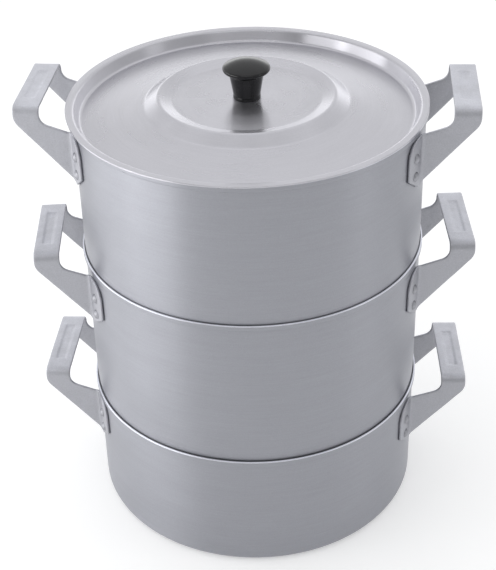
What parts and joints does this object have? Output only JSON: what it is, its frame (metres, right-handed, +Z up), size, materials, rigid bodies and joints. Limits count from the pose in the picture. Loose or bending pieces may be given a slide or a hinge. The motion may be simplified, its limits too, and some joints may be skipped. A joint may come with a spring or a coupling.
{
  "type": "stacked steamer pot",
  "caption": "Stacked aluminium steamer pot: base pot, loose tiers with perforated floors, pressed lid with a moulded knob and riveted strap handles.",
  "frame": {"origin": "middle of the base pot's foot, on the surface that the steamer stands on", "axes": "+Z up along the vessels' common axis, the handles stand out along -X (left) and +X (right), the view in the picture is from -Y"},
  "size_m": [0.3322, 0.26, 0.3627],
  "materials": {
    "satin_aluminium": "fine satin, spun",
    "lid_aluminium": "fine satin, pressed",
    "handle_aluminium": "tumbled matte",
    "rivet_aluminium": "cold headed, slightly dull",
    "black_moulding": "glossy thermoset",
    "insert_brass": "turned",
    "fastener_steel": "zinc plated"
  },
  "bodies": {
    "base": {"base_pot": "satin_aluminium", "base_left_handle": "handle_aluminium", "base_right_handle": "handle_aluminium", "base_left_rivets": "rivet_aluminium", "base_right_rivets": "rivet_aluminium"},
    "middle": {"middle_tier": "satin_aluminium", "middle_left_handle": "handle_aluminium", "middle_right_handle": "handle_aluminium", "middle_left_rivets": "rivet_aluminium", "middle_right_rivets": "rivet_aluminium"},
    "top": {"top_tier": "satin_aluminium", "top_left_handle": "handle_aluminium", "top_right_handle": "handle_aluminium", "top_left_rivets": "rivet_aluminium", "top_right_rivets": "rivet_aluminium"},
    "cover": {"lid": "lid_aluminium", "knob": "black_moulding", "knob_insert": "insert_brass", "knob_screw": "fastener_steel", "knob_washer": "fastener_steel"}
  },
  "joints": [
    {"name": "middle_tier_lift", "type": "slide", "parent": "base", "child": "middle", "axis": [0, 0, 1], "range_m": [0, 0.08]},
    {"name": "top_tier_lift", "type": "slide", "parent": "middle", "child": "top", "axis": [0, 0, 1], "range_m": [0, 0.08]},
    {"name": "lid_lift", "type": "slide", "parent": "top", "child": "cover", "axis": [0, 0, 1], "range_m": [0, 0.06]}
  ]
}
